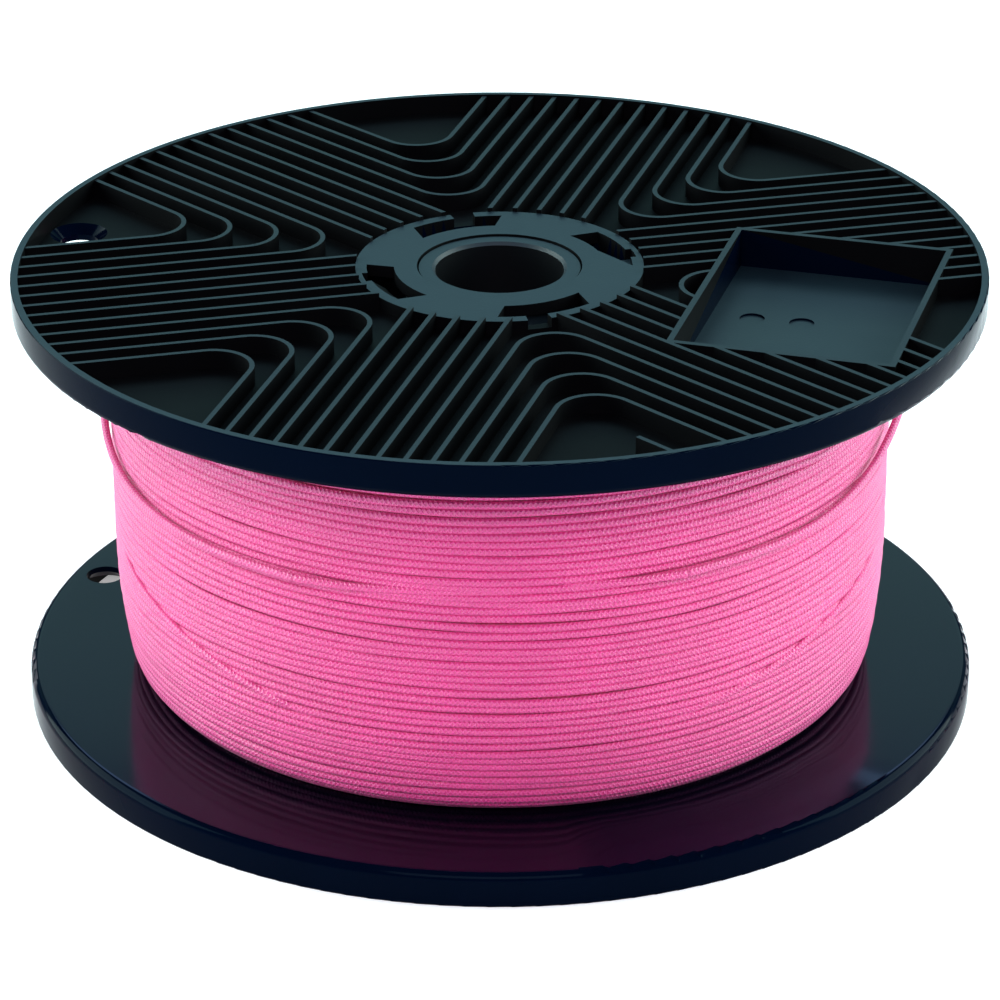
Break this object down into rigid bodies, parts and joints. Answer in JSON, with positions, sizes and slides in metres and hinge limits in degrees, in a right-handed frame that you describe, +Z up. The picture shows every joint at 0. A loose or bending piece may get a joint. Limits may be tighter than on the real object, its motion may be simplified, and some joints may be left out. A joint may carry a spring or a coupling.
{
  "type": "line spool",
  "caption": "Plastic spool with two ribbed flanges, a label pocket, a windowed hub with a plain bore, and braided line wound on its barrel.",
  "frame": {"origin": "centre of the lower flange's outer face, where the spool stands", "axes": "+Z up along the bore; +X to the side that holds the label pocket; +Y away from the viewed side"},
  "size_m": [0.16, 0.16, 0.0755],
  "materials": {
    "flange_plastic": "black moulded plastic, polished floor and satin ribs",
    "hub_plastic": "black moulded plastic, satin",
    "barrel_plastic": "black moulded plastic, satin",
    "line": "braided synthetic line, bright pink"
  },
  "bodies": {
    "root": {"upper_flange": "flange_plastic", "lower_flange": "flange_plastic", "hub_spindle": "hub_plastic", "core_barrel": "barrel_plastic", "line_winding": "line", "line_last_turn": "line", "line_start_knot": "line"}
  },
  "joints": []
}
